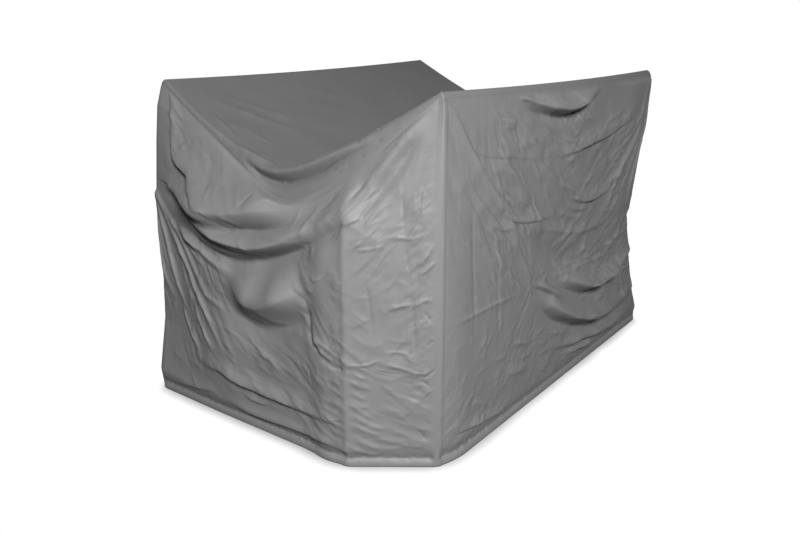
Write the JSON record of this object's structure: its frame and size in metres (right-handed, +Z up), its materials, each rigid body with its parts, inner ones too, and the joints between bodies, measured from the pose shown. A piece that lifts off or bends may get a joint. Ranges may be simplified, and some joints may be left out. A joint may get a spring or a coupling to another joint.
{
  "type": "patio furniture cover",
  "caption": "Hollow fitted cover draped over high-backed patio seating: a top panel sagging between long ridges, with end and side walls hanging to the floor.",
  "frame": {"origin": "on the floor, under the middle of the cover's bounding box", "axes": "+X along the two long ridges, from the near end wall to the far one; +Y across them, towards the far long wall; +Z up"},
  "size_m": [1.6314, 1.1059, 1.038],
  "materials": {
    "coated_cloth_top": "matte coated plain weave",
    "coated_cloth_walls": "matte coated plain weave"
  },
  "bodies": {
    "root": {"top_panel": "coated_cloth_top", "end_wall_near": "coated_cloth_walls", "long_wall_near": "coated_cloth_walls", "end_wall_far": "coated_cloth_walls", "long_wall_far": "coated_cloth_walls"}
  },
  "joints": []
}
